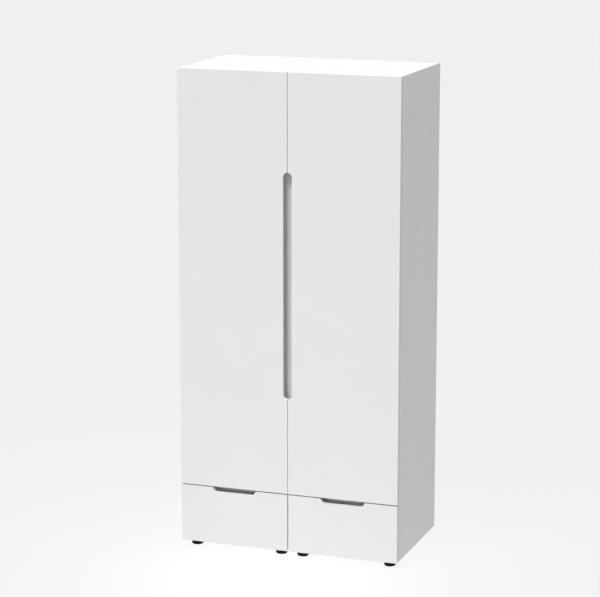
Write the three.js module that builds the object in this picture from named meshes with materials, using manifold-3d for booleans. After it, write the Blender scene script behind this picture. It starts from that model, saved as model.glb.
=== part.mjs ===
// Two-door wardrobe with two drawers: two 500 mm modules of 16 mm board, bolted side by side.
// Millimetres, +Z up. The origin is at floor level under the middle of the wardrobe, the front
// faces -Y and +X is to the viewer's right. Each module is drawn once, for the right half, with
// x counted from the plane between the modules, and the left half is its mirror image.

import * as THREE from "three";
import { mergeVertices } from "three/addons/utils/BufferGeometryUtils.js";
import Module from "manifold-3d";

const wasm = await Module();
wasm.setup();

// Overall size
const WIDTH = 1000;
const DEPTH = 570;
const HEIGHT = 2130;
const HALF = WIDTH / 2;

// Boards and the gaps between them
const BOARD = 16;
const BACK_THICKNESS = 3;
const BACK_REBATE = 8;
const BACK_END_GAP = 1;
const CLEAR = 0.3;
const MODULE_START = CLEAR / 2;

// Fronts: full overlay, 3 mm in front of the carcass. The gaps are between the two doors, between
// the two drawer fronts, and between the doors and the drawer fronts.
const DOOR_GAP = 2.5;
const DRAWER_GAP = 4.5;
const LEVEL_GAP = 5;
const FRONT_STANDOFF = 3;
const FRONT_EDGE_INSET = 0.5;
const FRONT_FACE = -DEPTH / 2;
const FRONT_REAR = FRONT_FACE + BOARD;
const CARCASS_FRONT = FRONT_REAR + FRONT_STANDOFF;
const CARCASS_REAR = DEPTH / 2;
const FRONT_X1 = HALF - FRONT_EDGE_INSET;

// Heights above the floor
const FOOT_HEIGHT = 30;
const CARCASS_BOTTOM = FOOT_HEIGHT;
const DRAWER_FRONT_HEIGHT = 256;
const DRAWER_FRONT_TOP = CARCASS_BOTTOM + DRAWER_FRONT_HEIGHT;
const DOOR_BOTTOM = DRAWER_FRONT_TOP + LEVEL_GAP;
const DOOR_MIDDLE = (DOOR_BOTTOM + HEIGHT) / 2;
const FIXED_SHELF_MIDDLE = (DRAWER_FRONT_TOP + DOOR_BOTTOM) / 2;
const HAT_SHELF_TOP = 1800;
const HAT_SHELF_SETBACK = 30;
const RAIL_HEIGHT = 1715;

// Inside of a module, clear of the boards round it
const INSIDE_X0 = MODULE_START + BOARD + CLEAR;
const INSIDE_X1 = HALF - BOARD - CLEAR;
const INSIDE_REAR = CARCASS_REAR - BACK_THICKNESS - CLEAR;

// Finger opening shared by the two doors: a slot with round ends along their meeting edges
const SLOT_HALF_WIDTH = 20;
const SLOT_LENGTH = 990;

// Batten behind the finger opening, glued into the front edge of each inner side panel. It leaves
// room for fingers behind the doors and closes the view into the module.
const FINGER_ROOM = 20;
const BATTEN_THICKNESS = 8;
const BATTEN_REACH = 40;
const BATTEN_LENGTH = SLOT_LENGTH + 20;

// Finger notch in the top edge of a drawer front
const NOTCH_TOP_HALF = 101.5;
const NOTCH_BOTTOM_HALF = 89.5;
const NOTCH_DEPTH = 19;
const NOTCH_RADIUS = 11;

// Behind the notch, the fixed shelf and the rail under it are set back to leave room for fingers
const NOTCH_ROOM = 18;
const NOTCH_RAIL_HEIGHT = 38;

// Drawer box
const DRAWER_SIDE = 12;
const DRAWER_BASE = 3;
const DRAWER_LENGTH = 500;
const DRAWER_SIDE_HEIGHT = 165;
const DRAWER_UNDERSIDE = 58;
const RUNNER_ROOM = 13;
const DRAWER_X0 = INSIDE_X0 + RUNNER_ROOM;
const DRAWER_X1 = INSIDE_X1 - RUNNER_ROOM;

// Cabinet member of a drawer runner: a channel of folded steel, open towards the drawer
const RUNNER_LENGTH = 500;
const RUNNER_SHEET = 1.2;
const RUNNER_FOOT = 11;
const RUNNER_LIP = 8;
const RUNNER_BOTTOM = 52;
const RUNNER_HEIGHT = 38;
const RUNNER_SETBACK = 4;

// Hanging rail: oval steel tube
const RAIL_WIDTH = 15;
const RAIL_TALL = 30;
const RAIL_WALL = 1;
const RAIL_END_ROOM = 2;

// Feet: a flange under the board, a taper, and a sole with a rounded edge
const FOOT_RADIUS = 28;
const FOOT_FLANGE = 6;
const FOOT_SOLE_RADIUS = 25;
const FOOT_SOLE_EDGE = 3;
const FOOT_INSET_X = 50;
const FOOT_INSET_Y = 61;
const FOOT_FRONT_Y = FRONT_FACE + FOOT_INSET_Y;
const FOOT_REAR_Y = CARCASS_REAR - FOOT_INSET_Y;

// Concealed hinges. Their plan is set out from the module's outer front corner: "in" is the
// distance inwards from the outer side face and "out" the distance in front of the carcass.
const HINGE_END_INSET = 100;
const HINGE_HEIGHTS = {
  low: DOOR_BOTTOM + HINGE_END_INSET,
  middle: DOOR_MIDDLE,
  high: HEIGHT - HINGE_END_INSET,
};
const CUP_IN = 23;
const CUP_RADIUS = 17.5;
const CUP_WALL = 0.7;
const CUP_FLOOR = 0.5;
const CUP_FLOOR_OUT = 15;
const CUP_FLANGE = 0.9;
const CUP_FLANGE_RADIUS = 19.5;
const EAR_RADIUS = 6.5;
const EAR_OFFSET = 6;
const EAR_SPREAD = 26;
const LINK_PIVOT = { in: 37, out: -2.6 };
const LINK_TIP = { in: 10.3, out: 8.3 };
const LINK_BOW = 8.5;
const LINK_HALF_THICKNESS = 1.1;
const LINK_TIP_RADIUS = 1.7;
const LINK_EYE_RADIUS = 3.2;
const LINK_HEIGHT = 8.4;
const PIN_RADIUS = 1.5;
const PIN_LENGTH = 13;
const PIN_CLEARANCE = 0.1;
const HINGE_WALL = BOARD + CLEAR;
const ARM_HEIGHT = 14;
const ARM_NOSE = 2.6;
const ARM_INNER_EDGE = [[26, -72], [30, -60], [31, -34], [LINK_PIVOT.in + LINK_EYE_RADIUS, -9]];
const ARM_OUTER_EDGE = [[27, -18], [HINGE_WALL + 2, -22], [HINGE_WALL + 2, -70]];
const FORK = { height: 9.4, in: [22, 44], out: [-17, 4] };
const PLATE = { height: 20, thickness: 3, out: [-57, -20] };
const WINGS = { height: 52, thickness: 2, out: [-44, -30] };

const melamine = { color: 0xf1f1ef, roughness: 0.45, metalness: 0 };
const hardboard = { color: 0xe9e8e4, roughness: 0.6, metalness: 0 };
const blackPlastic = { color: 0x141414, roughness: 0.5, metalness: 0 };
const nickel = { color: 0xb9b7b2, roughness: 0.3, metalness: 1 };
const chrome = { color: 0xd6d8da, roughness: 0.12, metalness: 1 };
const whiteEnamel = { color: 0xeeeeec, roughness: 0.4, metalness: 0 };

function mesh(name, finish, geometry) {
  const made = new THREE.Mesh(geometry, new THREE.MeshStandardMaterial(finish));
  made.name = name;
  return made;
}

// A rectangular board between two corners.
function board(name, finish, [x0, x1], [y0, y1], [z0, z1]) {
  const made = mesh(name, finish, new THREE.BoxGeometry(x1 - x0, y1 - y0, z1 - z0));
  made.position.set((x0 + x1) / 2, (y0 + y1) / 2, (z0 + z1) / 2);
  return made;
}

// The library's solid of a closed geometry.
function solid(geometry) {
  const bare = geometry.clone();
  bare.deleteAttribute("normal");
  bare.deleteAttribute("uv");
  const merged = mergeVertices(bare, 1e-4);
  const data = {
    numProp: 3,
    vertProperties: new Float32Array(merged.attributes.position.array),
    triVerts: new Uint32Array(merged.index.array),
  };
  return new wasm.Manifold(new wasm.Mesh(data));
}

function geometryOf(made) {
  const data = made.getMesh();
  const geometry = new THREE.BufferGeometry();
  geometry.setAttribute("position", new THREE.BufferAttribute(data.vertProperties, 3));
  geometry.setIndex(new THREE.BufferAttribute(data.triVerts, 1));
  const flat = geometry.toNonIndexed();
  flat.computeVertexNormals();
  return flat;
}

// An outline drawn in the plan (x, y) and raised along z, centred on height zero.
function raised(shape, height, curveSegments = 16) {
  const settings = { depth: height, bevelEnabled: false, curveSegments };
  return new THREE.ExtrudeGeometry(shape, settings).translate(0, 0, -height / 2);
}

// An outline drawn on the front elevation (x, z) and given depth from y = front to y = rear.
function upright(shape, front, rear, curveSegments = 14) {
  const settings = { depth: rear - front, bevelEnabled: false, curveSegments };
  return new THREE.ExtrudeGeometry(shape, settings).rotateX(Math.PI / 2).translate(0, rear, 0);
}

// A cylinder along y, on the front elevation at x, z.
function plug(radius, front, rear, x, z, sides = 36) {
  const along = new THREE.CylinderGeometry(radius, radius, rear - front, sides);
  return along.translate(x, (front + rear) / 2, z);
}

// A block between two corners, as bare geometry.
function block([x0, x1], [y0, y1], [z0, z1]) {
  const made = new THREE.BoxGeometry(x1 - x0, y1 - y0, z1 - z0);
  return made.translate((x0 + x1) / 2, (y0 + y1) / 2, (z0 + z1) / 2);
}

// Plan position of a hinge point given by its distances from the outer front corner.
function hingePoint(place) {
  return new THREE.Vector2(HALF - place.in, CARCASS_FRONT - place.out);
}

// A side panel. Its rear edge is rebated on the inner face for the back panel.
function sidePanel(name, outerFace, innerFace) {
  const step = innerFace + Math.sign(outerFace - innerFace) * (BOARD - BACK_REBATE);
  const outline = new THREE.Shape();
  outline.moveTo(outerFace, CARCASS_FRONT);
  outline.lineTo(innerFace, CARCASS_FRONT);
  outline.lineTo(innerFace, INSIDE_REAR);
  outline.lineTo(step, INSIDE_REAR);
  outline.lineTo(step, CARCASS_REAR);
  outline.lineTo(outerFace, CARCASS_REAR);
  outline.closePath();
  const made = mesh(name, melamine, raised(outline, HEIGHT - CARCASS_BOTTOM));
  made.position.z = (HEIGHT + CARCASS_BOTTOM) / 2;
  return made;
}

// The inner side panel: its front edge is cut back behind the finger opening for the batten.
function innerSidePanel(name) {
  const panel = sidePanel(name, MODULE_START, MODULE_START + BOARD);
  const middle = DOOR_MIDDLE - panel.position.z;
  const length = [middle - BATTEN_LENGTH / 2, middle + BATTEN_LENGTH / 2];
  const battenFront = CARCASS_FRONT + FINGER_ROOM;
  const battenDepth = [battenFront, battenFront + BATTEN_THICKNESS];
  const room = block([-BOARD, 2 * BOARD], [CARCASS_FRONT - BOARD, battenFront], length);
  const batten = block([MODULE_START, BATTEN_REACH], battenDepth, length);
  panel.geometry = geometryOf(solid(panel.geometry).subtract(solid(room)).add(solid(batten)));
  return panel;
}

function carcass(side) {
  const across = [INSIDE_X0, INSIDE_X1];
  const deep = [CARCASS_FRONT, INSIDE_REAR];
  const backX = [MODULE_START + BACK_REBATE + CLEAR, HALF - BACK_REBATE - CLEAR];
  const backY = [CARCASS_REAR - BACK_THICKNESS, CARCASS_REAR];
  const backZ = [CARCASS_BOTTOM + BACK_END_GAP, HEIGHT - BACK_END_GAP];
  const shelfTop = FIXED_SHELF_MIDDLE + BOARD / 2;
  const shelfUnderside = FIXED_SHELF_MIDDLE - BOARD / 2;
  const railTop = shelfUnderside - CLEAR;
  const setBack = CARCASS_FRONT + NOTCH_ROOM;
  return [
    sidePanel(`${side}_outer_side_panel`, HALF, HALF - BOARD),
    innerSidePanel(`${side}_inner_side_panel`),
    board(`${side}_top_panel`, melamine, across, deep, [HEIGHT - BOARD, HEIGHT]),
    board(`${side}_bottom_panel`, melamine, across, deep, [CARCASS_BOTTOM, CARCASS_BOTTOM + BOARD]),
    board(`${side}_back_panel`, hardboard, backX, backY, backZ),
    board(
      `${side}_fixed_shelf`,
      melamine,
      across,
      [setBack, INSIDE_REAR],
      [shelfUnderside, shelfTop],
    ),
    board(
      `${side}_drawer_bay_rail`,
      melamine,
      across,
      [setBack, setBack + BOARD],
      [railTop - NOTCH_RAIL_HEIGHT, railTop],
    ),
    board(
      `${side}_hat_shelf`,
      melamine,
      across,
      [CARCASS_FRONT + HAT_SHELF_SETBACK, INSIDE_REAR],
      [HAT_SHELF_TOP - BOARD, HAT_SHELF_TOP],
    ),
  ];
}

// Oval tube across the module, held at its ends by sockets on the side panels.
function hangingRail(side) {
  const oval = (wall) => {
    const radius = RAIL_WIDTH / 2 - wall;
    const straight = (RAIL_TALL - RAIL_WIDTH) / 2;
    const path = new THREE.Shape();
    path.absarc(0, straight, radius, 0, Math.PI);
    path.absarc(0, -straight, radius, Math.PI, 2 * Math.PI);
    path.closePath();
    return path;
  };
  const outline = oval(0);
  outline.holes.push(new THREE.Path(oval(RAIL_WALL).getPoints(10).reverse()));
  const length = INSIDE_X1 - INSIDE_X0 - 2 * RAIL_END_ROOM;
  const rail = mesh(`${side}_hanging_rail`, chrome, raised(outline, length, 10));
  rail.rotation.set(Math.PI / 2, Math.PI / 2, 0);
  rail.position.set((INSIDE_X0 + INSIDE_X1) / 2, (CARCASS_FRONT + INSIDE_REAR) / 2, RAIL_HEIGHT);
  return rail;
}

// A round plastic foot: wide under the panel, drawn in slightly at the sole.
function foot(name, x, y) {
  const top = FOOT_HEIGHT - CLEAR;
  const profile = new THREE.Path();
  profile.moveTo(0, 0);
  profile.lineTo(FOOT_SOLE_RADIUS - FOOT_SOLE_EDGE, 0);
  profile.quadraticCurveTo(FOOT_SOLE_RADIUS, 0, FOOT_SOLE_RADIUS, FOOT_SOLE_EDGE);
  profile.lineTo(FOOT_RADIUS, top - FOOT_FLANGE);
  profile.lineTo(FOOT_RADIUS, top);
  profile.lineTo(0, top);
  const turned = new THREE.LatheGeometry(profile.getPoints(3), 28).rotateX(Math.PI / 2);
  const made = mesh(name, blackPlastic, turned);
  made.position.set(x, y, 0);
  return made;
}

function feet(side) {
  const places = { inner: FOOT_INSET_X, outer: HALF - FOOT_INSET_X };
  return Object.entries(places).flatMap(([where, x]) => [
    foot(`${side}_front_${where}_foot`, x, FOOT_FRONT_Y),
    foot(`${side}_rear_${where}_foot`, x, FOOT_REAR_Y),
  ]);
}

// Folded channel on a side panel. wall is the panel's face, inward the way to the drawer.
function cabinetRunner(name, wall, inward) {
  const web = wall + inward * CLEAR;
  const bend = web + inward * RUNNER_SHEET;
  const top = RUNNER_BOTTOM + RUNNER_HEIGHT;
  const outline = new THREE.Shape();
  outline.moveTo(web, RUNNER_BOTTOM);
  outline.lineTo(web + inward * RUNNER_FOOT, RUNNER_BOTTOM);
  outline.lineTo(web + inward * RUNNER_FOOT, RUNNER_BOTTOM + RUNNER_SHEET);
  outline.lineTo(bend, RUNNER_BOTTOM + RUNNER_SHEET);
  outline.lineTo(bend, top - RUNNER_SHEET);
  outline.lineTo(web + inward * RUNNER_LIP, top - RUNNER_SHEET);
  outline.lineTo(web + inward * RUNNER_LIP, top);
  outline.lineTo(web, top);
  outline.closePath();
  const front = CARCASS_FRONT + RUNNER_SETBACK;
  return mesh(name, whiteEnamel, upright(outline, front, front + RUNNER_LENGTH));
}

// Hinge arm with its mounting plate, and the fork and pin that carry the link.
function hingeArm(name, height) {
  const flat = (points) => new THREE.Shape(points.map(([i, o]) => hingePoint({ in: i, out: o })));
  const strip = ({ height, thickness, out: [rear, front] }) =>
    raised(
      flat([
        [HINGE_WALL, front],
        [HINGE_WALL, rear],
        [HINGE_WALL + thickness, rear],
        [HINGE_WALL + thickness, front],
      ]),
      height,
    );
  const nose = LINK_PIVOT.out + ARM_NOSE;
  const arm = raised(
    flat([
      ...ARM_INNER_EDGE,
      [LINK_PIVOT.in + LINK_EYE_RADIUS, LINK_PIVOT.out],
      [LINK_PIVOT.in + LINK_EYE_RADIUS / 2, nose],
      [LINK_PIVOT.in - LINK_EYE_RADIUS / 2, nose],
      [LINK_PIVOT.in - LINK_EYE_RADIUS, LINK_PIVOT.out],
      ...ARM_OUTER_EDGE,
    ]),
    ARM_HEIGHT,
  );
  const [forkOuter, forkInner] = FORK.in;
  const [forkRear, forkFront] = FORK.out;
  const fork = raised(
    flat([
      [forkOuter, forkFront],
      [forkOuter, forkRear],
      [forkInner, forkRear],
      [forkInner, forkFront],
    ]),
    FORK.height,
  );
  const pivot = hingePoint(LINK_PIVOT);
  const pin = new THREE.CylinderGeometry(PIN_RADIUS, PIN_RADIUS, PIN_LENGTH, 24);
  pin.rotateX(Math.PI / 2).translate(pivot.x, pivot.y, 0);
  const forked = solid(arm).subtract(solid(fork)).add(solid(pin));
  const seated = forked.add(solid(strip(PLATE))).add(solid(strip(WINGS)));
  const made = mesh(name, nickel, geometryOf(seated));
  made.position.z = height;
  return made;
}

// Curved link: an eye on the arm's pin, and a round tip that lies loose in the cup.
function hingeLink(name, height) {
  const pivot = hingePoint(LINK_PIVOT);
  const tip = hingePoint(LINK_TIP);
  const span = pivot.distanceTo(tip);
  const radius = (span * span / 4 + LINK_BOW * LINK_BOW) / (2 * LINK_BOW);
  const drop = radius - LINK_BOW;
  const half = Math.atan2(span / 2, drop);
  const bar = new THREE.Shape();
  bar.absarc(span / 2, -drop, radius + LINK_HALF_THICKNESS, Math.PI / 2 + half, Math.PI / 2 - half, true);
  bar.absarc(span / 2, -drop, radius - LINK_HALF_THICKNESS, Math.PI / 2 - half, Math.PI / 2 + half);
  bar.closePath();
  const disc = (r, x, h) =>
    solid(new THREE.CylinderGeometry(r, r, h, 20).rotateX(Math.PI / 2).translate(x, 0, 0));
  const shape = solid(raised(bar, LINK_HEIGHT, 10))
    .add(disc(LINK_EYE_RADIUS, 0, LINK_HEIGHT))
    .add(disc(LINK_TIP_RADIUS, span, LINK_HEIGHT))
    .subtract(disc(PIN_RADIUS + PIN_CLEARANCE, 0, 2 * LINK_HEIGHT));
  const made = mesh(name, nickel, geometryOf(shape));
  made.position.set(pivot.x, pivot.y, height);
  made.rotation.z = Math.atan2(tip.y - pivot.y, tip.x - pivot.x);
  made.scale.y = -1;
  return made;
}

// Pressed cup with its flange and two screw ears, sunk in the rear face of the door.
function hingeCup(name, height) {
  const flangeBack = CLEAR;
  const flangeFront = CLEAR + CUP_FLANGE;
  const depth = CUP_FLOOR_OUT - FRONT_STANDOFF;
  const inner = CUP_RADIUS - CUP_WALL;
  const profile = [
    [0, -depth - CUP_FLOOR],
    [CUP_RADIUS, -depth - CUP_FLOOR],
    [CUP_RADIUS, flangeBack],
    [CUP_FLANGE_RADIUS, flangeBack],
    [CUP_FLANGE_RADIUS, flangeFront],
    [inner, flangeFront],
    [inner, -depth],
    [0, -depth],
  ].map(([r, along]) => new THREE.Vector2(r, along));
  const cup = new THREE.LatheGeometry(profile, 36);
  const ears = new THREE.Shape();
  ears.absarc(-EAR_OFFSET, EAR_SPREAD, EAR_RADIUS, 0, Math.PI);
  ears.absarc(-EAR_OFFSET, -EAR_SPREAD, EAR_RADIUS, Math.PI, 2 * Math.PI);
  ears.closePath();
  const plate = solid(upright(ears, flangeBack, flangeFront, 10));
  const mouth = solid(plug(inner, -depth, 2 * flangeFront, 0, 0));
  const made = mesh(name, nickel, geometryOf(solid(cup).add(plate.subtract(mouth))));
  made.position.set(HALF - CUP_IN, FRONT_REAR, height);
  return made;
}

// Door leaf: half of the finger slot is cut from its meeting edge, and pockets take the cups.
function door(side) {
  const slotLow = DOOR_MIDDLE - SLOT_LENGTH / 2;
  const slotHigh = DOOR_MIDDLE + SLOT_LENGTH / 2;
  const edge = DOOR_GAP / 2;
  const start = Math.acos(edge / SLOT_HALF_WIDTH);
  const outline = new THREE.Shape();
  outline.moveTo(edge, DOOR_BOTTOM);
  outline.lineTo(FRONT_X1, DOOR_BOTTOM);
  outline.lineTo(FRONT_X1, HEIGHT);
  outline.lineTo(edge, HEIGHT);
  outline.absarc(0, slotHigh - SLOT_HALF_WIDTH, SLOT_HALF_WIDTH, start, 0, true);
  outline.absarc(0, slotLow + SLOT_HALF_WIDTH, SLOT_HALF_WIDTH, 0, -start, true);
  outline.closePath();
  const pocket = CUP_FLOOR_OUT - FRONT_STANDOFF + CUP_FLOOR + CLEAR;
  const leaf = Object.values(HINGE_HEIGHTS).reduce(
    (made, z) =>
      made.subtract(
        solid(plug(CUP_RADIUS + CLEAR, FRONT_REAR - pocket, FRONT_REAR + pocket, HALF - CUP_IN, z)),
      ),
    solid(upright(outline, FRONT_FACE, FRONT_REAR)),
  );
  return mesh(`${side}_door`, melamine, geometryOf(leaf));
}

// Drawer front with the finger notch in the middle of its top edge.
function drawerFront(side) {
  const edge = DRAWER_GAP / 2;
  const middle = (edge + FRONT_X1) / 2;
  const floor = DRAWER_FRONT_TOP - NOTCH_DEPTH;
  const run = NOTCH_TOP_HALF - NOTCH_BOTTOM_HALF;
  const slope = Math.hypot(run, NOTCH_DEPTH);
  const alongX = (NOTCH_RADIUS * run) / slope;
  const alongZ = (NOTCH_RADIUS * NOTCH_DEPTH) / slope;
  const outline = new THREE.Shape();
  outline.moveTo(edge, CARCASS_BOTTOM);
  outline.lineTo(FRONT_X1, CARCASS_BOTTOM);
  outline.lineTo(FRONT_X1, DRAWER_FRONT_TOP);
  outline.lineTo(middle + NOTCH_TOP_HALF, DRAWER_FRONT_TOP);
  for (const way of [1, -1]) {
    const corner = middle + way * NOTCH_BOTTOM_HALF;
    const upper = [corner + way * alongX, floor + alongZ];
    const lower = [corner - way * NOTCH_RADIUS, floor];
    const [first, last] = way > 0 ? [upper, lower] : [lower, upper];
    outline.lineTo(...first);
    outline.quadraticCurveTo(corner, floor, ...last);
  }
  outline.lineTo(middle - NOTCH_TOP_HALF, DRAWER_FRONT_TOP);
  outline.lineTo(edge, DRAWER_FRONT_TOP);
  outline.closePath();
  return mesh(`${side}_drawer_front`, melamine, upright(outline, FRONT_FACE, FRONT_REAR, 8));
}

function drawer(side) {
  const start = FRONT_REAR + CLEAR;
  const end = start + DRAWER_LENGTH;
  const sideFloor = DRAWER_UNDERSIDE + DRAWER_BASE + CLEAR;
  const sideTop = sideFloor + DRAWER_SIDE_HEIGHT;
  const innerX = [DRAWER_X0 + DRAWER_SIDE + CLEAR, DRAWER_X1 - DRAWER_SIDE - CLEAR];
  const tall = [sideFloor, sideTop];
  return [
    drawerFront(side),
    board(`${side}_drawer_inner_side`, melamine, [DRAWER_X0, DRAWER_X0 + DRAWER_SIDE], [start, end], tall),
    board(`${side}_drawer_outer_side`, melamine, [DRAWER_X1 - DRAWER_SIDE, DRAWER_X1], [start, end], tall),
    board(`${side}_drawer_back`, melamine, innerX, [end - DRAWER_SIDE, end], tall),
    board(
      `${side}_drawer_base`,
      hardboard,
      [DRAWER_X0, DRAWER_X1],
      [start, end],
      [DRAWER_UNDERSIDE, DRAWER_UNDERSIDE + DRAWER_BASE],
    ),
  ];
}

function hinges(side) {
  return Object.entries(HINGE_HEIGHTS).flatMap(([where, height]) => [
    hingeArm(`${side}_${where}_hinge_arm`, height),
    hingeLink(`${side}_${where}_hinge_link`, height),
    hingeCup(`${side}_${where}_hinge_cup`, height),
  ]);
}

function module(side) {
  const half = new THREE.Group();
  half.add(
    ...carcass(side),
    hangingRail(side),
    ...feet(side),
    cabinetRunner(`${side}_inner_runner`, MODULE_START + BOARD, 1),
    cabinetRunner(`${side}_outer_runner`, HALF - BOARD, -1),
    door(side),
    ...hinges(side),
    ...drawer(side),
  );
  half.scale.x = side === "left" ? -1 : 1;
  return half;
}

const wardrobe = new THREE.Group();
wardrobe.add(module("left"), module("right"));

export default wardrobe;
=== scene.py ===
from math import acos, atan2, cos, hypot, pi, radians, sin

import bmesh
import bpy
from mathutils import Matrix, Vector

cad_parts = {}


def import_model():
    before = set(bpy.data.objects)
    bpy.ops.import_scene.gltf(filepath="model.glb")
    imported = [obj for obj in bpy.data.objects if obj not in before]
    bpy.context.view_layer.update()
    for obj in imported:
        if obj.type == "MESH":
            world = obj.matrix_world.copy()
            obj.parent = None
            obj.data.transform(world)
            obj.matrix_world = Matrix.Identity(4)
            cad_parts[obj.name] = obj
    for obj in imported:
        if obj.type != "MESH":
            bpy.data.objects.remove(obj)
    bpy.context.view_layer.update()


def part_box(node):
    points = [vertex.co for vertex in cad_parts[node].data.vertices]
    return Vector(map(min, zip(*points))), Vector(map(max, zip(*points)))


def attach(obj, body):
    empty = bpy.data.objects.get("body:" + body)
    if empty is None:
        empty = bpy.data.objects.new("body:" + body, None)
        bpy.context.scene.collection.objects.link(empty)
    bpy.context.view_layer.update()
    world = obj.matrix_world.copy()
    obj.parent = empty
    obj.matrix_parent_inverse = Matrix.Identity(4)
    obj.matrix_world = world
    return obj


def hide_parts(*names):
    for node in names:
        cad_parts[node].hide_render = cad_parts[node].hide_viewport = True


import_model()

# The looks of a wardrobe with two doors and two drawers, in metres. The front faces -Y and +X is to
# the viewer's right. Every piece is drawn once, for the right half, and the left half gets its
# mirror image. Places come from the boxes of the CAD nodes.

scene = bpy.context.scene
MM = 0.001

# ---- Driving sizes -----------------------------------------------------

# GAP parts neighbouring pieces, and SLACK parts a pin from its bore. An EDGE is a rounding radius.
BOARD = 16 * MM
REBATE = 8 * MM
GAP = 0.3 * MM
SLACK = 0.1 * MM
BOARD_EDGE = 0.35 * MM
SHEET_EDGE = 0.25 * MM

SLOT_RADIUS = 20 * MM
SLOT_LENGTH = 990 * MM
FINGER_ROOM = 20 * MM
BATTEN_THICKNESS = 8 * MM
BATTEN_LENGTH = SLOT_LENGTH + 20 * MM
NOTCH_TOP_HALF = 101.5 * MM
NOTCH_BOTTOM_HALF = 89.5 * MM
NOTCH_DEPTH = 19 * MM
NOTCH_RADIUS = 11 * MM

PIN_HOLE_RADIUS = 2.5 * MM
PIN_HOLE_DEPTH = 11 * MM
PIN_HOLE_PITCH = 32 * MM
PIN_HOLES_EACH_WAY = 4
PIN_ROW_INSET = 37 * MM
SHELF_PIN_REACH = 8 * MM
SHELF_PIN_COLLAR_RADIUS = 4.5 * MM
SHELF_PIN_COLLAR = 1.2 * MM

CAM_RADIUS = 7.5 * MM
CAM_INSET = 34 * MM
CAM_END_INSET = 60 * MM

BOLT_RADIUS = 8.5 * MM
BOLT_HEIGHT = 2.2 * MM
BOLT_SOCKET_RADIUS = 2.6 * MM
BOLT_SOCKET_FLOOR = 0.9 * MM
BOLT_END_INSET = 60 * MM
BOLT_ABOVE_SHELF = 70 * MM
BOLT_BELOW_TOP = 90 * MM

NAIL_RADIUS = 2.2 * MM
NAIL_HEAD = 0.4 * MM
NAIL_INSET = 5 * MM
NAILS_UP = 15
NAIL_SPACES_ACROSS = 4

# Screw heads: radius and height
SOCKET_SCREW = (3.2 * MM, 1.6 * MM)
CUP_SCREW = (4 * MM, 1.7 * MM)
PLATE_SCREW = (4.2 * MM, 1.8 * MM)
ARM_SCREW = (3.4 * MM, 1.5 * MM)
DRAWER_SCREW = (3.6 * MM, 0.9 * MM)
RUNNER_SCREW = (3.6 * MM, 1.8 * MM)

FOOT_FLANGE = 4 * MM
FOOT_RIBS = 36
FOOT_RIB_DEPTH = 0.45 * MM
FOOT_SKIRT_INSET = 1.6 * MM
FOOT_SOLE_INSET = 3 * MM
FOOT_SOLE_EDGE = 3 * MM

BUMPER_RADIUS = 4 * MM
BUMPER_HEIGHT = 2.4 * MM
BUMPER_INSET = 9 * MM
BUMPER_END_INSET = 60 * MM

# Concealed hinges, set out in plan from the module's outer front corner: "inwards" is the distance
# from the outer side face and "out" the distance in front of the carcass.
CUP_RADIUS = 17.5 * MM
CUP_INWARDS = 23 * MM
CUP_DEPTH = 12.5 * MM
CUP_SHEET = 0.7 * MM
CUP_FLANGE = 0.9 * MM
CUP_FLANGE_RADIUS = 19.5 * MM
EAR_RADIUS = 6.5 * MM
EAR_OFFSET = 6 * MM
EAR_SPREAD = 26 * MM
LINK_PIVOT = (37 * MM, -2.6 * MM)
LINK_TIP = (10.3 * MM, 8.3 * MM)
LINK_BOW = 8.5 * MM
LINK_HALF_THICKNESS = 1.1 * MM
LINK_EYE_RADIUS = 3.2 * MM
LINK_KNUCKLE_RADIUS = 1.7 * MM
LINK_HEIGHT = 8.4 * MM
LINK_EDGE = 0.3 * MM
HINGE_PIN_RADIUS = 1.5 * MM
ARM_HEIGHT = 14 * MM
ARM_SEAT_FRONT = -22 * MM
ARM_SEAT_REAR = -70 * MM
ARM_TAIL = (26 * MM, -72 * MM)
ARM_HEEL = (30 * MM, -60 * MM)
ARM_CREST = (31 * MM, -34 * MM)
ARM_NECK = -9 * MM
ARM_THROAT = (27 * MM, -18 * MM)
ARM_SCREW_SEATS = ((30.3 * MM, -53 * MM), (30.8 * MM, -40 * MM))
FORK_HEIGHT = 9.4 * MM
FORK_NEAR = (22 * MM, -17 * MM)
FORK_FAR = (44 * MM, 4 * MM)
PLATE = 2 * MM
PLATE_SCREW_SPREAD = 19 * MM

DRAWER_EDGE = 1.2 * MM
DRAWER_FIXING_INSET = 35 * MM

# Drawer runners in section: widths from the cabinet member's web, heights from its foot
RUNNER_SHEET = 1.2 * MM
RUNNER_EDGE = 0.35 * MM
RUNNER_FOOT = 11 * MM
RUNNER_TURN_UP = 3.2 * MM
RUNNER_LIP = 8 * MM
RUNNER_TALL = 38 * MM
RUNNER_SCREW_PLACES = (37 * MM, 261 * MM, 453 * MM)
DRAWER_LEDGE = 13 * MM
DRAWER_LEDGE_GAP = 0.2 * MM
DRAWER_FLANGE_HEIGHT = 33 * MM
ROLLER_RADIUS = 10 * MM
ROLLER_NEAR = 2.4 * MM
ROLLER_FAR = 9.4 * MM
ROLLER_END_INSET = 12 * MM
ROLLER_PLAY = 0.15 * MM
AXLE_RADIUS = 2.1 * MM
AXLE_HEAD_RADIUS = 3.6 * MM
AXLE_HEAD = 1 * MM

SIDES = {"right": 1, "left": -1}
HINGES = ("low", "middle", "high")


# ---- Camera and studio -------------------------------------------------

CAMERA_PLACE = (3.2308, -9.1489, 3.2033)
CAMERA_AZIMUTH = radians(19.70)
CAMERA_ELEVATION = radians(12.206)
CAMERA_LENS = 135.54

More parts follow.
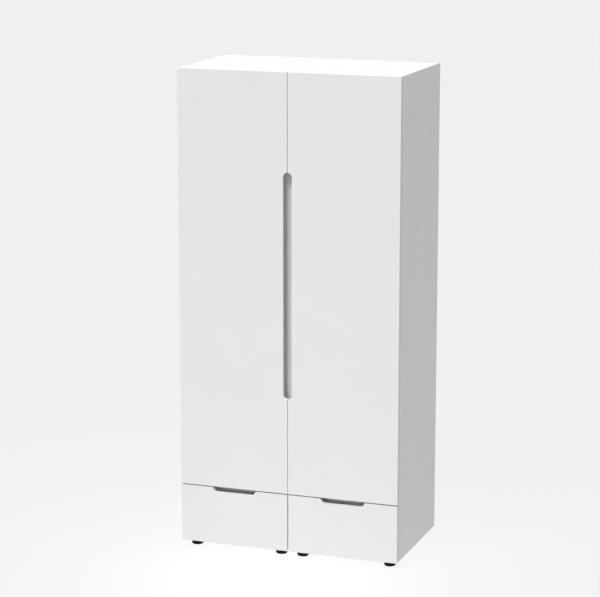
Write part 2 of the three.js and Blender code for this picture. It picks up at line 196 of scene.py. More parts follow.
# Tones are linear light. The floor glows, and LAMPS_ON_FLOOR is what the lamps add to its glow.
BACKDROP = 0.871
AMBIENT = 0.20
FLOOR_REACH = 300
FLOOR_WHITE = 0.025
FLOOR_WHITE_REACH = 3.0
# Painted pool of light: the floor's glow rises by POOL_GAIN towards POOL_CENTRE, in front of the
# wardrobe.
POOL_CENTRE = (0, -0.55, 0)
POOL_GAIN = 0.18
POOL_REACH = 0.62
KEY_STRENGTH = 2.58
KEY_ELEVATION = radians(56)
KEY_AZIMUTH = radians(-20)
KEY_SOFTNESS = radians(22)
OVERHEAD_STRENGTH = 2.0
OVERHEAD_SOFTNESS = radians(6)
LAMPS_ON_FLOOR = 0.037


def look_along(azimuth, elevation):
    """The turn of an object that faces the wardrobe from that side and height."""
    back = Vector((sin(azimuth) * cos(elevation), -cos(azimuth) * cos(elevation), sin(elevation)))
    return (-back).to_track_quat("-Z", "Y").to_euler()


def camera():
    lens = bpy.data.cameras.new("camera")
    lens.sensor_width = 36
    lens.lens = CAMERA_LENS
    lens.clip_end = 2 * FLOOR_REACH
    made = bpy.data.objects.new("camera", lens)
    made.location = CAMERA_PLACE
    made.rotation_euler = look_along(CAMERA_AZIMUTH, CAMERA_ELEVATION)
    scene.collection.objects.link(made)
    scene.camera = made


def wire(tree, source, socket):
    """Joins a node's output to a socket, or sets the socket to a plain value."""
    if isinstance(source, bpy.types.NodeSocket):
        tree.links.new(source, socket)
    else:
        socket.default_value = source


def maths(tree, operation, first, second):
    made = tree.nodes.new("ShaderNodeMath")
    made.operation = operation
    wire(tree, first, made.inputs[0])
    wire(tree, second, made.inputs[1])
    return made.outputs[0]


def falloff(tree, distance_squared, reach):
    """1 at the centre, a half at the reach, and fading to nothing far away."""
    share = maths(tree, "DIVIDE", distance_squared, reach * reach)
    return maths(tree, "DIVIDE", 1.0, maths(tree, "ADD", share, 1.0))


def world():
    """A pale backdrop for the camera, and an even, dimmer light on everything else."""
    made = bpy.data.worlds.new("studio")
    made.use_nodes = True
    scene.world = made
    tree = made.node_tree
    tree.nodes.clear()
    path = tree.nodes.new("ShaderNodeLightPath")
    strength = tree.nodes.new("ShaderNodeMapRange")
    strength.inputs["To Min"].default_value = AMBIENT
    strength.inputs["To Max"].default_value = BACKDROP
    background = tree.nodes.new("ShaderNodeBackground")
    background.inputs["Color"].default_value = (1, 1, 1, 1)
    output = tree.nodes.new("ShaderNodeOutputWorld")
    tree.links.new(path.outputs["Is Camera Ray"], strength.inputs["Value"])
    tree.links.new(strength.outputs["Result"], background.inputs["Strength"])
    tree.links.new(background.outputs["Background"], output.inputs["Surface"])


def floor():
    """A pale glowing floor with a painted pool of glow, brightest in front of the wardrobe and the
    backdrop's tone far away.
    """
    shape = bmesh.new()
    bmesh.ops.create_circle(shape, cap_ends=True, radius=FLOOR_REACH, segments=96)
    data = bpy.data.meshes.new("floor")
    shape.to_mesh(data)
    shape.free()
    made = bpy.data.objects.new("floor", data)
    scene.collection.objects.link(made)
    finish = bpy.data.materials.new("glowing_floor")
    finish.use_nodes = True
    data.materials.append(finish)
    tree = finish.node_tree
    tree.nodes.clear()
    place = tree.nodes.new("ShaderNodeTexCoord").outputs["Object"]
    away = tree.nodes.new("ShaderNodeVectorMath")
    away.operation = "SUBTRACT"
    tree.links.new(place, away.inputs[0])
    away.inputs[1].default_value = POOL_CENTRE
    squared = tree.nodes.new("ShaderNodeVectorMath")
    squared.operation = "DOT_PRODUCT"
    tree.links.new(away.outputs[0], squared.inputs[0])
    tree.links.new(away.outputs[0], squared.inputs[1])
    # Painted pool of light: extra glow painted into the floor in front of the wardrobe.
    pool = falloff(tree, squared.outputs["Value"], POOL_REACH)
    near = falloff(tree, squared.outputs["Value"], FLOOR_WHITE_REACH)
    glow = maths(tree, "MULTIPLY_ADD", pool, POOL_GAIN)
    glow.node.inputs[2].default_value = BACKDROP
    glow = maths(tree, "SUBTRACT", glow, maths(tree, "MULTIPLY", near, LAMPS_ON_FLOOR))
    emission = tree.nodes.new("ShaderNodeEmission")
    tree.links.new(glow, emission.inputs["Strength"])
    white = tree.nodes.new("ShaderNodeBsdfDiffuse")
    tree.links.new(maths(tree, "MULTIPLY", near, FLOOR_WHITE), white.inputs["Color"])
    both = tree.nodes.new("ShaderNodeAddShader")
    tree.links.new(emission.outputs[0], both.inputs[0])
    tree.links.new(white.outputs[0], both.inputs[1])
    output = tree.nodes.new("ShaderNodeOutputMaterial")
    tree.links.new(both.outputs[0], output.inputs["Surface"])


def lamp(name, strength, azimuth, elevation, softness):
    light = bpy.data.lights.new(name, "SUN")
    light.energy = strength
    light.angle = softness
    made = bpy.data.objects.new(name, light)
    made.rotation_euler = look_along(azimuth, elevation)
    scene.collection.objects.link(made)


def lamps():
    """A soft key from the front left, and one straight down that brightens the top."""
    lamp("key", KEY_STRENGTH, KEY_AZIMUTH, KEY_ELEVATION, KEY_SOFTNESS)
    lamp("overhead", OVERHEAD_STRENGTH, 0, pi / 2, OVERHEAD_SOFTNESS)


# ---- Materials ---------------------------------------------------------

def new_finish(name, colour, roughness, metallic=0.0):
    """A material whose even values are set on the shader itself. Returns it, its tree and shader."""
    made = bpy.data.materials.new(name)
    made.use_nodes = True
    tree = made.node_tree
    shader = tree.nodes["Principled BSDF"]
    shader.inputs["Base Color"].default_value = (*colour, 1)
    shader.inputs["Roughness"].default_value = roughness
    shader.inputs["Metallic"].default_value = metallic
    return made, tree, shader


def grain(tree, per_metre, stretch=(1, 1, 1), detail=2.0, cells=False):
    """A pattern in the piece's own coordinates, per_metre to the metre, drawn out along an axis."""
    place = tree.nodes.new("ShaderNodeTexCoord")
    mapping = tree.nodes.new("ShaderNodeMapping")
    mapping.inputs["Scale"].default_value = [per_metre / s for s in stretch]
    tree.links.new(place.outputs["Object"], mapping.inputs["Vector"])
    texture = tree.nodes.new("ShaderNodeTexVoronoi" if cells else "ShaderNodeTexNoise")
    texture.inputs["Scale"].default_value = 1.0
    texture.inputs["Detail"].default_value = detail
    tree.links.new(mapping.outputs["Vector"], texture.inputs["Vector"])
    return texture.outputs["Color" if cells else "Fac"]


def vary(tree, pattern, socket, low, high, spread=(0.3, 0.7)):
    """The socket runs from low to high with the pattern: numbers or colours."""
    if isinstance(low, tuple):
        ramp = tree.nodes.new("ShaderNodeValToRGB")
        ramp.color_ramp.elements[0].position, ramp.color_ramp.elements[1].position = spread
        ramp.color_ramp.elements[0].color = (*low, 1)
        ramp.color_ramp.elements[1].color = (*high, 1)
        tree.links.new(pattern, ramp.inputs["Fac"])
        tree.links.new(ramp.outputs["Color"], socket)
        return
    spread_out = tree.nodes.new("ShaderNodeMapRange")
    spread_out.inputs["From Min"].default_value, spread_out.inputs["From Max"].default_value = spread
    spread_out.inputs["To Min"].default_value = low
    spread_out.inputs["To Max"].default_value = high
    tree.links.new(pattern, spread_out.inputs["Value"])
    tree.links.new(spread_out.outputs["Result"], socket)


def relief(tree, shader, pattern, depth):
    """Raises the surface with the pattern, by depth from its low to its high."""
    bump = tree.nodes.new("ShaderNodeBump")
    bump.inputs["Distance"].default_value = depth
    tree.links.new(pattern, bump.inputs["Height"])
    tree.links.new(bump.outputs["Normal"], shader.inputs["Normal"])


def grey(value):
    return (value, value, value)


def melamine():
    """White melamine-faced board: a fine pearl texture, with a trace of mottling."""
    made, tree, shader = new_finish("white_melamine_face", grey(0.80), 0.42)
    vary(tree, grain(tree, 6), shader.inputs["Base Color"], grey(0.792), grey(0.808))
    vary(tree, grain(tree, 22), shader.inputs["Roughness"], 0.38, 0.47)
    relief(tree, shader, grain(tree, 800, detail=1.0), 0.04 * MM)
    return made


def edge_band():
    """Plastic edge band on the boards, smoother than the face, with fine scraper marks."""
    made, tree, shader = new_finish("white_edge_band", grey(0.80), 0.34)
    vary(tree, grain(tree, 30, stretch=(1, 1, 8)), shader.inputs["Base Color"], grey(0.785), grey(0.81))
    vary(tree, grain(tree, 400, stretch=(12, 1, 12)), shader.inputs["Roughness"], 0.28, 0.42)
    relief(tree, shader, grain(tree, 600, stretch=(20, 1, 20)), 0.01 * MM)
    return made


def chipboard():
    """Raw pressed wood chips, where a hidden edge or a bore has no band."""
    made, tree, shader = new_finish("raw_chipboard", (0.45, 0.32, 0.19), 0.85)
    chips = grain(tree, 420, stretch=(2.4, 2.4, 1), cells=True)
    vary(tree, chips, shader.inputs["Base Color"], (0.30, 0.20, 0.11), (0.62, 0.47, 0.30), (0.1, 0.9))
    relief(tree, shader, grain(tree, 700, detail=4.0), 0.25 * MM)
    return made


def hardboard():
    """Thin white-lacquered fibreboard: the lacquer follows the fibres a little."""
    made, tree, shader = new_finish("white_lacquered_hardboard", grey(0.79), 0.55)
    vary(tree, grain(tree, 60, detail=5.0), shader.inputs["Base Color"],
         (0.775, 0.772, 0.765), (0.795, 0.792, 0.785))
    vary(tree, grain(tree, 9), shader.inputs["Roughness"], 0.50, 0.64)
    relief(tree, shader, grain(tree, 450, detail=3.0), 0.02 * MM)
    return made


def black_plastic():
    """Moulded black plastic with a fine spark-eroded grain."""
    made, tree, shader = new_finish("moulded_black_plastic", grey(0.006), 0.55)
    shader.inputs["Specular IOR Level"].default_value = 0.12
    vary(tree, grain(tree, 60), shader.inputs["Base Color"], grey(0.003), grey(0.007))
    vary(tree, grain(tree, 90, detail=3.0), shader.inputs["Roughness"], 0.42, 0.6)
    relief(tree, shader, grain(tree, 1500), 0.03 * MM)
    return made


def white_plastic():
    """Moulded white plastic: rollers, rail sockets and bumpers."""
    made, tree, shader = new_finish("moulded_white_plastic", grey(0.80), 0.4)
    vary(tree, grain(tree, 80), shader.inputs["Base Color"], grey(0.78), grey(0.82))
    vary(tree, grain(tree, 120), shader.inputs["Roughness"], 0.34, 0.48)
    relief(tree, shader, grain(tree, 1200), 0.02 * MM)
    return made


def nickel():
    """Nickel-plated pressed steel: slight rolling marks and clouding."""
    made, tree, shader = new_finish("nickel_plated_steel", (0.60, 0.585, 0.56), 0.3, 1.0)
    vary(tree, grain(tree, 60, detail=3.0), shader.inputs["Base Color"],
         (0.62, 0.605, 0.58), (0.68, 0.665, 0.64))
    vary(tree, grain(tree, 400, stretch=(1, 1, 12)), shader.inputs["Roughness"], 0.26, 0.34)
    relief(tree, shader, grain(tree, 900, stretch=(1, 1, 10)), 0.004 * MM)
    return made


def chrome():
    """Bright chromed tube with faint drawing lines along it."""
    made, tree, shader = new_finish("bright_chrome", (0.70, 0.71, 0.72), 0.1, 1.0)
    vary(tree, grain(tree, 25), shader.inputs["Base Color"], (0.68, 0.69, 0.70), (0.74, 0.75, 0.76))
    vary(tree, grain(tree, 900, stretch=(60, 1, 1)), shader.inputs["Roughness"], 0.06, 0.16)
    relief(tree, shader, grain(tree, 1200, stretch=(80, 1, 1)), 0.004 * MM)
    return made


def enamel():
    """White powder-coated steel with orange peel."""
    made, tree, shader = new_finish("white_powder_coat", grey(0.80), 0.35)
    vary(tree, grain(tree, 40), shader.inputs["Base Color"], grey(0.78), grey(0.82))
    vary(tree, grain(tree, 160), shader.inputs["Roughness"], 0.28, 0.42)
    relief(tree, shader, grain(tree, 450), 0.06 * MM)
    return made


# ---- Mesh tools --------------------------------------------------------

FACE, BAND, RAW = 0, 1, 2
ALONG = {
    "x": lambda u, v, w: Vector((w, u, v)),
    "y": lambda u, v, w: Vector((u, w, v)),
    "z": lambda u, v, w: Vector((u, v, w)),
}
CURVE_TURN = radians(32)
CORNER_STEPS = 3
SHARP_TURN = radians(50)


def to_mesh(shape):
    bmesh.ops.recalc_face_normals(shape, faces=shape.faces)
    data = bpy.data.meshes.new("shape")
    shape.to_mesh(data)
    shape.free()
    return data


def anticlockwise(outline):
    ring = [Vector(point) for point in outline]
    area = sum(a.x * b.y - b.x * a.y for a, b in zip(ring, ring[1:] + ring[:1]))
    return ring if area > 0 else ring[::-1]


def neighbours(ring):
    return zip(ring[-1:] + ring[:-1], ring, ring[1:] + ring[:1])


def softened(ring, radius):
    """The outline with each real corner turned into a small arc."""
    result = []
    for before, here, after in neighbours(ring):
        back = (before - here).normalized()
        on = (after - here).normalized()
        if pi - back.angle(on) < CURVE_TURN:
            result.append(here)
            continue
        for step in range(CORNER_STEPS + 1):
            t = step / CORNER_STEPS
            result.append(here + back * radius * (1 - t) ** 2 + on * radius * t ** 2)
    return result


def inset(ring, amount):
    """The outline moved inwards, its corners mitred."""
    result = []
    for before, here, after in neighbours(ring):
        first = (here - before).normalized()
        second = (after - here).normalized()
        mitre = Vector((-first.y - second.y, first.x + second.x)) / (1 + first.dot(second))
        result.append(here + mitre * amount)
    return result


def slab(outline, axis, start, end, edge=BOARD_EDGE, corner=1.6):
    """An outline given thickness along an axis, with every edge rounded by a small radius."""
    ring = anticlockwise(outline)
    if edge:
        ring = softened(ring, corner * edge)
    turns = [k * pi / 2 / CORNER_STEPS for k in range(CORNER_STEPS + 1)] if edge else [pi / 2]
    levels = [(edge * (1 - sin(a)), start + edge * (1 - cos(a))) for a in turns]
    levels += [(edge * (1 - sin(a)), end - edge * (1 - cos(a))) for a in reversed(turns)]
    shape = bmesh.new()
    rings = [
        [shape.verts.new(ALONG[axis](point.x, point.y, level)) for point in inset(ring, amount)]
        for amount, level in levels
    ]
    for lower, upper in zip(rings, rings[1:]):
        for i in range(len(lower)):
            shape.faces.new((lower[i - 1], lower[i], upper[i], upper[i - 1]))
    shape.faces.new(rings[0])
    shape.faces.new(rings[-1])
    return to_mesh(shape)


def rectangle(low, high):
    return [(low[0], low[1]), (high[0], low[1]), (high[0], high[1]), (low[0], high[1])]


def arc(centre, radius, first, last, steps):
    """Points on an arc, both ends included."""
    angles = [first + (last - first) * k / steps for k in range(steps + 1)]
    return [(centre[0] + radius * cos(a), centre[1] + radius * sin(a)) for a in angles]


def circle(centre, radius, steps=32):
    return arc(centre, radius, 0, 2 * pi, steps)[:-1]


def oval(centre, wide, tall, steps=12):
    """A stadium, taller than it is wide."""
    radius = wide / 2
    rise = tall / 2 - radius
    upper = arc((centre[0], centre[1] + rise), radius, 0, pi, steps)
    lower = arc((centre[0], centre[1] - rise), radius, pi, 2 * pi, steps)
    return upper + lower


def turned(profile, sides=32, closed=False):
    """A profile of (radius, height) points turned about Z. A closed one is a ring with a bore."""
    shape = bmesh.new()
    rings = []
    for radius, height in profile:
        if radius < 1e-7:
            rings.append([shape.verts.new((0, 0, height))] * sides)
            continue
        angles = [2 * pi * k / sides for k in range(sides)]
        rings.append([shape.verts.new((radius * cos(a), radius * sin(a), height)) for a in angles])
    pairs = list(zip(rings, rings[1:]))
    if closed:
        pairs.append((rings[-1], rings[0]))
    for lower, upper in pairs:
        for i in range(sides):
            corners = dict.fromkeys((lower[i - 1], lower[i], upper[i], upper[i - 1]))
            if len(corners) > 2:
                shape.faces.new(tuple(corners))
    return to_mesh(shape)


def joined(parts):
    """One mesh from several, each a mesh or a (mesh, matrix) pair."""
    shape = bmesh.new()
    for part in parts:
        data, matrix = part if isinstance(part, tuple) else (part, Matrix())
        copy = data.copy()
        copy.transform(matrix)
        if matrix.determinant() < 0:
            copy.flip_normals()
        shape.from_mesh(copy)
        bpy.data.meshes.remove(copy)
    data = bpy.data.meshes.new("group")
    shape.to_mesh(data)
    shape.free()
    return data


def facing(place, direction):
    """The matrix that stands a shape drawn up along Z at a place, pointing in a direction."""
    turn = Vector(direction).to_track_quat("Z", "Y").to_matrix().to_4x4()
    return Matrix.Translation(place) @ turn


def combined(first, second, operation):
    """The solid first with second cut away or added."""
    holders = [bpy.data.objects.new("solid", data) for data in (first, second)]
    for holder in holders:
        scene.collection.objects.link(holder)
    change = holders[0].modifiers.new("solid", "BOOLEAN")
    change.operation = operation
    change.solver = "MANIFOLD"
    change.object = holders[1]
    result = bpy.data.meshes.new_from_object(
        holders[0].evaluated_get(bpy.context.evaluated_depsgraph_get())
    )
    for holder in holders:
        bpy.data.objects.remove(holder)
    return result


def cut(solid, *tools):
    return combined(solid, joined(tools), "DIFFERENCE")


def paint(data, slot_of):
    """Sets each face's material slot from its normal and centre."""
    for face in data.polygons:
        face.material_index = slot_of(face.normal, face.center)
    return data


def board_faces(data, thickness, raw_rear=False):
    """Board faces, banded edges and, where it is hidden, a raw rear edge."""
    flat = "xyz".index(thickness)

    def slot_of(normal, centre):
        if abs(normal[flat]) > 0.8:
            return FACE
        return RAW if raw_rear and normal.y > 0.8 else BAND

    return paint(data, slot_of)


def add(name, data, body, finishes, replaces=()):
    """Makes the right half's piece and its mirror image, and hands both to the frame."""
    for side, sign in SIDES.items():
        copy = data.copy()
        copy.name = f"{side}_{name}"
        if sign < 0:
            copy.transform(Matrix.Scale(-1, 4, (1, 0, 0)))
            copy.flip_normals()
        copy.materials.clear()
        for finish in finishes:
            copy.materials.append(finish)
        copy.polygons.foreach_set("use_smooth", [True] * len(copy.polygons))
        copy.set_sharp_from_angle(angle=SHARP_TURN)
        made = bpy.data.objects.new(copy.name, copy)
        scene.collection.objects.link(made)
        made.modifiers.new("even_shading", "WEIGHTED_NORMAL").keep_sharp = True
        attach(made, body if body == "carcass" else f"{side}_{body}")
        if replaces:
            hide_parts(*(f"{side}_{node}" for node in replaces))


def box(node):
    """The corners of a right-half CAD node."""
    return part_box(f"right_{node}")


def middle(node):
    low, high = box(node)
    return (low + high) / 2


# ---- Small shared shapes, drawn up along Z with their seat at height zero 

def domed(radius, height, rim=0.35, steps=5):
    """A low dome's profile above an upright rim."""
    lip = height * rim
    angles = [pi / 2 * k / steps for k in range(steps + 1)]
    return [(0, 0), (radius, 0)] + [
        (radius * (0.15 + 0.85 * cos(a)) if k else radius, lip + (height - lip) * sin(a))
        for k, a in enumerate(angles)
    ] + [(0, height)]


def cross(reach, width, floor, top):
    """A cross-shaped punch."""
    a, b = reach, width / 2
    outline = [(a, b), (b, b), (b, a), (-b, a), (-b, b), (-a, b), (-a, -b), (-b, -b), (-b, -a),
               (b, -a), (b, -b), (a, -b)]
    return slab(outline, "z", floor, top, edge=0)


def screw_head(radius, height):
    """A pan head with a cross recess."""
    head = turned(domed(radius, height), 24)
    return cut(head, cross(0.55 * radius, 0.22 * radius, 0.35 * height, 2 * height))


def cam():
    """The visible end of a cam fitting: a chamfered disc with a deep cross slot."""
    lip = 0.5 * MM
    sunk = 1.2 * MM
    disc = turned([(0, -sunk), (CAM_RADIUS, -sunk), (CAM_RADIUS, 0), (CAM_RADIUS - lip, lip), (0, lip)])
    return cut(disc, cross(0.6 * CAM_RADIUS, 2 * MM, -sunk / 2, 2 * lip))


# ---- Carcass boards ----------------------------------------------------

def pin_heights():
    """Heights of the shelf-pin holes: the hat shelf's own, and some above and below it."""
    own = box("hat_shelf")[0].z - PIN_HOLE_RADIUS
    return [own + k * PIN_HOLE_PITCH for k in range(-PIN_HOLES_EACH_WAY, PIN_HOLES_EACH_WAY + 1)]


def pin_rows():
    low, high = box("hat_shelf")
    return [low.y + PIN_ROW_INSET, high.y - PIN_ROW_INSET]


def wall_faces():
    """Where a module's inner and outer sides face each other, and the way each one faces."""
    return (
        ("inner", box("inner_side_panel")[0].x + BOARD, 1),
        ("outer", box("outer_side_panel")[0].x, -1),
    )


def batten_box():
    """Corners of the batten behind the doors' slot, let into the inner side's front edge."""
    low, high = box("inner_side_panel")
    front = low.y + FINGER_ROOM
    reach = Vector((0, 0, BATTEN_LENGTH / 2))
    return (
        Vector((low.x, front, middle("door").z)) - reach,
        Vector((high.x, front + BATTEN_THICKNESS, middle("door").z)) + reach,
    )


def batten(finishes):
    low, high = batten_box()
    data = slab(rectangle((low.x, low.z), (high.x, high.z)), "y", low.y, high.y)
    add("slot_batten", board_faces(data, "y"), "carcass", finishes,
        ["inner_side_panel"])


def side_panels(finishes):
    """Both sides of a module, rebated for the back and bored for the shelf pins."""
    for name, inner_x, inward in wall_faces():
        low, high = box(f"{name}_side_panel")
        outer_x = inner_x - inward * BOARD
        step_x = inner_x - inward * (BOARD - REBATE)
        step_y = box("back_panel")[0].y - GAP
        outline = [(outer_x, low.y), (inner_x, low.y), (inner_x, step_y), (step_x, step_y),
                   (step_x, high.y), (outer_x, high.y)]
        panel = board_faces(slab(outline, "z", low.z, high.z), "x", raw_rear=True)
        drill = turned([(0, -PIN_HOLE_DEPTH), (PIN_HOLE_RADIUS, -PIN_HOLE_DEPTH),
                        (PIN_HOLE_RADIUS, PIN_HOLE_DEPTH), (0, PIN_HOLE_DEPTH)], 14)
        drill = paint(drill, lambda normal, centre: RAW)
        holes = [
            (drill, facing((inner_x, y, z), (inward, 0, 0)))
            for y in pin_rows() for z in pin_heights()
        ]
        if name == "inner":
            seat_low, seat_high = batten_box()
            seat = slab(rectangle((low.y - BOARD, seat_low.z), (seat_high.y, seat_high.z)), "x",
                        outer_x - BOARD, inner_x + BOARD, 0)
            panel = cut(panel, paint(seat, lambda normal, centre: BAND))
        add(f"{name}_side_board", cut(panel, *holes), "carcass", finishes,
            [f"{name}_side_panel"])


def flat_boards(finishes):
    """Tops, bottoms and shelves."""
    for name in ("top_panel", "bottom_panel", "fixed_shelf", "hat_shelf"):
        low, high = box(name)
        data = slab(rectangle(low, high), "z", low.z, high.z)
        add(name.replace("panel", "board").replace("shelf", "shelf_board"),
            board_faces(data, "z", raw_rear=True), "carcass", finishes, [name])
    low, high = box("drawer_bay_rail")
    data = slab(rectangle((low.x, low.z), (high.x, high.z)), "y", low.y, high.y)
    add("drawer_bay_rail_board", board_faces(data, "y"), "carcass", finishes,
        ["drawer_bay_rail"])


def even_places(first, last, spaces):
    """Places from first to last, both included, with that many equal spaces."""
    return [first + (last - first) * k / spaces for k in range(spaces + 1)]


def back(finish, nail_finish):
    """The thin back, pinned all round and along the fixed shelf with flat-headed nails."""
    low, high = box("back_panel")
    seat = high.y - NAIL_HEAD
    data = slab(rectangle((low.x, low.z), (high.x, high.z)), "y", low.y, seat, edge=SHEET_EDGE)
    add("back_sheet", data, "carcass", [finish], ["back_panel"])
    crown = NAIL_RADIUS - 0.5 * MM
    nail = turned([(0, -NAIL_HEAD), (NAIL_RADIUS, -NAIL_HEAD), (NAIL_RADIUS, NAIL_HEAD / 2),
                   (crown, NAIL_HEAD), (0, NAIL_HEAD)], 12)
    xs = (low.x + NAIL_INSET, high.x - NAIL_INSET)
    zs = (low.z + NAIL_INSET, high.z - NAIL_INSET)
    places = [(x, z) for x in xs for z in even_places(*zs, NAILS_UP - 1)]
    between = even_places(*xs, NAIL_SPACES_ACROSS)[1:-1]
    places += [(x, z) for z in (*zs, middle("fixed_shelf").z) for x in between]
    nails = [(nail, facing((x, seat, z), (0, 1, 0))) for x, z in places]
    add("back_nails", joined(nails), "carcass", [nail_finish])


def shelf_pin():
    """A peg with a collar, half of it in the wall and half under the shelf."""
    peg, collar, thick = PIN_HOLE_RADIUS, SHELF_PIN_COLLAR_RADIUS, SHELF_PIN_COLLAR
    bevel = 0.4 * MM
    lead = 0.5 * MM
    return turned([
        (0, -SHELF_PIN_REACH), (peg - SLACK, -SHELF_PIN_REACH), (peg - SLACK, 0), (collar, 0),
        (collar, thick - bevel), (collar - bevel, thick), (peg, thick), (peg, SHELF_PIN_REACH - lead),
        (peg - bevel, SHELF_PIN_REACH), (0, SHELF_PIN_REACH),
    ], 20)


def carcass_fittings(metal):
    """Cam fittings in the boards, the bolts that hold the two modules together, and shelf pins."""
    disc = cam()
    cams = []
    for node, way in (("top_panel", -1), ("bottom_panel", 1), ("fixed_shelf", -1)):
        low, high = box(node)
        level = high.z if way > 0 else low.z
        cams += [
            (disc, facing((x, y, level), (0, 0, way)))
            for x in (low.x + CAM_INSET, high.x - CAM_INSET)
            for y in (low.y + CAM_END_INSET, high.y - CAM_END_INSET)
        ]
    add("carcass_cams", joined(cams), "carcass", [metal])
    low, high = box("inner_side_panel")
    socket = turned([(0, BOLT_SOCKET_FLOOR), (BOLT_SOCKET_RADIUS, BOLT_SOCKET_FLOOR),
                     (BOLT_SOCKET_RADIUS, 2 * BOLT_HEIGHT), (0, 2 * BOLT_HEIGHT)], 6)
    bolt = cut(turned(domed(BOLT_RADIUS, BOLT_HEIGHT, 0.5), 28), socket)
    bolts = [
        (bolt, facing((low.x + BOARD, y, z), (1, 0, 0)))
        for y in (low.y + BOLT_END_INSET, high.y - BOLT_END_INSET)
        for z in (box("fixed_shelf")[1].z + BOLT_ABOVE_SHELF, high.z - BOLT_BELOW_TOP)
    ]
    add("module_bolts", joined(bolts), "carcass", [metal])
    pin = shelf_pin()
    pin_z = box("hat_shelf")[0].z - PIN_HOLE_RADIUS - SLACK
    pins = [
        (pin, facing((wall_x, y, pin_z), (way, 0, 0)))
        for _, wall_x, way in wall_faces()
        for y in pin_rows()
    ]
    add("shelf_pins", joined(pins), "carcass", [metal])


def hanging_rail(tube_metal, plastic, screw_metal):
    """Oval chromed tube in two screwed sockets."""
    low, high = box("hanging_rail")
    centre = ((low.y + high.y) / 2, (low.z + high.z) / 2)
    wide, tall = high.y - low.y, high.z - low.z
    wall = 1 * MM
    bore = slab(oval(centre, wide - 2 * wall, tall - 2 * wall), "x", low.x - wall, high.x + wall, 0)
    tube = cut(slab(oval(centre, wide, tall, 16), "x", low.x, high.x, 0.2 * MM), bore)
    add("wardrobe_rail", tube, "carcass", [tube_metal], ["hanging_rail"])
    fit = 0.3 * MM
    plate = 2 * MM
    reach = 13 * MM
    room = 6 * MM
    edge = 0.5 * MM
    sockets = []
    for _, wall_x, way in wall_faces():
        near, far = sorted((wall_x + way * SLACK / 2, wall_x + way * plate))
        flange = slab(oval(centre, wide + 2 * room, tall + 4 * room), "x", near, far, edge)
        near, far = sorted((wall_x + way * plate / 2, wall_x + way * reach))
        collar = slab(oval(centre, wide + room, tall + room), "x", near, far, edge)
        near, far = sorted((wall_x + way * plate, wall_x + way * 2 * reach))
        mouth = slab(oval(centre, wide + 2 * fit, tall + 2 * fit), "x", near, far, 0)
        sockets.append(cut(combined(flange, collar, "UNION"), mouth))
    add("rail_sockets", joined(sockets), "carcass", [plastic])
    head = screw_head(*SOCKET_SCREW)
    offset = tall / 2 + 1.25 * room
    heads = [
        (head, facing((wall_x + way * plate, centre[0], centre[1] + up * offset), (way, 0, 0)))
        for _, wall_x, way in wall_faces()
        for up in (1, -1)
    ]
    add("rail_socket_screws", joined(heads), "carcass", [screw_metal])


# ---- Feet --------------------------------------------------------------

def foot(low, high):
    """A round foot: a flange under the board, a ribbed skirt and a rounded sole."""
    centre = ((low.x + high.x) / 2, (low.y + high.y) / 2)
    radius = (high.x - low.x) / 2
    tall = high.z - low.z
    flange = slab(circle(centre, radius, 48), "z", high.z - FOOT_FLANGE, high.z, 0.8 * MM)
    points = 4 * FOOT_RIBS
    ring = [
        (centre[0] + r * cos(a), centre[1] + r * sin(a))
        for a in (2 * pi * k / points for k in range(points))
        for r in [radius - FOOT_SKIRT_INSET + FOOT_RIB_DEPTH * cos(FOOT_RIBS * a)]
    ]
    skirt_top = high.z - 1.1 * FOOT_FLANGE
    skirt = slab(ring, "z", low.z + 0.42 * tall, skirt_top, 0.5 * MM)
    stem_radius = 0.6 * radius
    stem_top = tall - FOOT_FLANGE / 4
    stem = turned([(0, 0), (stem_radius, 0), (stem_radius, stem_top), (0, stem_top)], 32)
    sole_radius = radius - FOOT_SOLE_INSET
    round_over = [
        (sole_radius - FOOT_SOLE_EDGE * (1 - sin(a)), FOOT_SOLE_EDGE * (1 - cos(a)))
        for a in (k * pi / 10 for k in range(6))
    ]
    belly = (sole_radius + 0.2 * FOOT_SOLE_EDGE, 0.3 * tall)
    sole_top = 0.39 * tall
    sole = turned([(0, 0)] + round_over + [belly, (sole_radius, sole_top), (0, sole_top)], 48)
    base = Matrix.Translation((*centre, low.z))
    return joined([flange, skirt, (stem, base), (sole, base)])


def feet(finish):
    """Four feet to a module."""
    for row in ("front", "rear"):
        for place in ("inner", "outer"):
            node = f"{row}_{place}_foot"
            add(f"{node}_moulding", foot(*box(node)), "carcass", [finish], [node])


# ---- Doors and drawer fronts -------------------------------------------

def door(finishes, plastic):
    """A leaf with half the finger slot in its meeting edge, three cup bores and two bumpers."""
    low, high = box("door")
    centre_z = (low.z + high.z) / 2
    straight = SLOT_LENGTH / 2 - SLOT_RADIUS
    start = acos(low.x / SLOT_RADIUS)
    outline = [(low.x, low.z), (high.x, low.z), (high.x, high.z), (low.x, high.z)]
    outline += arc((0, centre_z + straight), SLOT_RADIUS, start, 0, 16)
    outline += arc((0, centre_z - straight), SLOT_RADIUS, 0, -start, 16)
    leaf = board_faces(slab(outline, "y", low.y, high.y), "y")
    bore, drill_length = CUP_RADIUS + GAP, 40 * MM
    pocket = turned([(0, 0), (bore, 0), (bore, drill_length), (0, drill_length)], 48)
    pocket = paint(pocket, lambda normal, centre: RAW)
    floor_y = box("middle_hinge_cup")[0].y - GAP
    pockets = [
        (pocket, facing((hinge_x(CUP_INWARDS), floor_y, middle(f"{where}_hinge_cup").z), (0, 1, 0)))
        for where in HINGES
    ]
    add("door_leaf", cut(leaf, *pockets), "door", finishes, ["door"])
    bumper = turned(domed(BUMPER_RADIUS, BUMPER_HEIGHT, 0.3), 20)
    bumpers = [
        (bumper, facing((BUMPER_INSET, high.y, z), (0, 1, 0)))
        for z in (low.z + BUMPER_END_INSET, high.z - BUMPER_END_INSET)
    ]
    add("door_bumpers", joined(bumpers), "door", [plastic])


